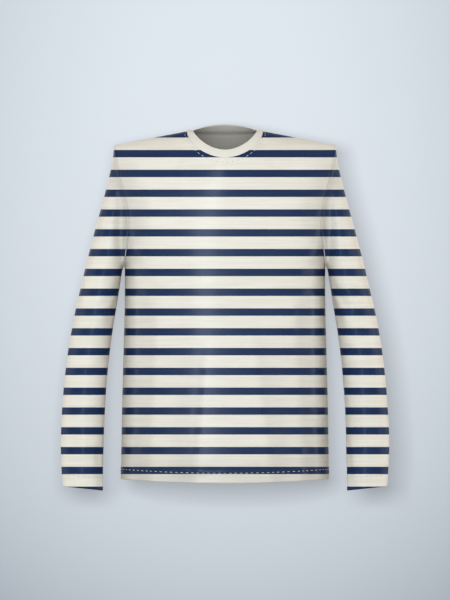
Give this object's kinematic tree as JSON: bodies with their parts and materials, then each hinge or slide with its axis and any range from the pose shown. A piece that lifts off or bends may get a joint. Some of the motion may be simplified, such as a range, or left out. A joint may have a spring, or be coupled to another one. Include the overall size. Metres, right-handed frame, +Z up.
{
  "type": "breton shirt",
  "caption": "Long-sleeved striped jersey shirt, filled out with no wearer, with a rib crew neckband, set-in sleeves, open cuffs and a straight open hem",
  "frame": {"origin": "in the middle of the shoulder line, level with the points where the shoulders meet the neck, where a wearer's shoulders hold the shirt up", "axes": "+Z up, +X to the right as one looks at the shirt's front, and the front faces -Y"},
  "size_m": [0.627, 0.2242, 0.6957],
  "materials": {
    "striped_jersey": "matt cotton jersey, cream with navy stripes that the scene paints",
    "cream_rib": "matt doubled cotton rib"
  },
  "bodies": {
    "root": {"front": "striped_jersey", "back": "striped_jersey", "sleeve_left": "striped_jersey", "sleeve_right": "striped_jersey", "neckband": "cream_rib"}
  },
  "joints": []
}
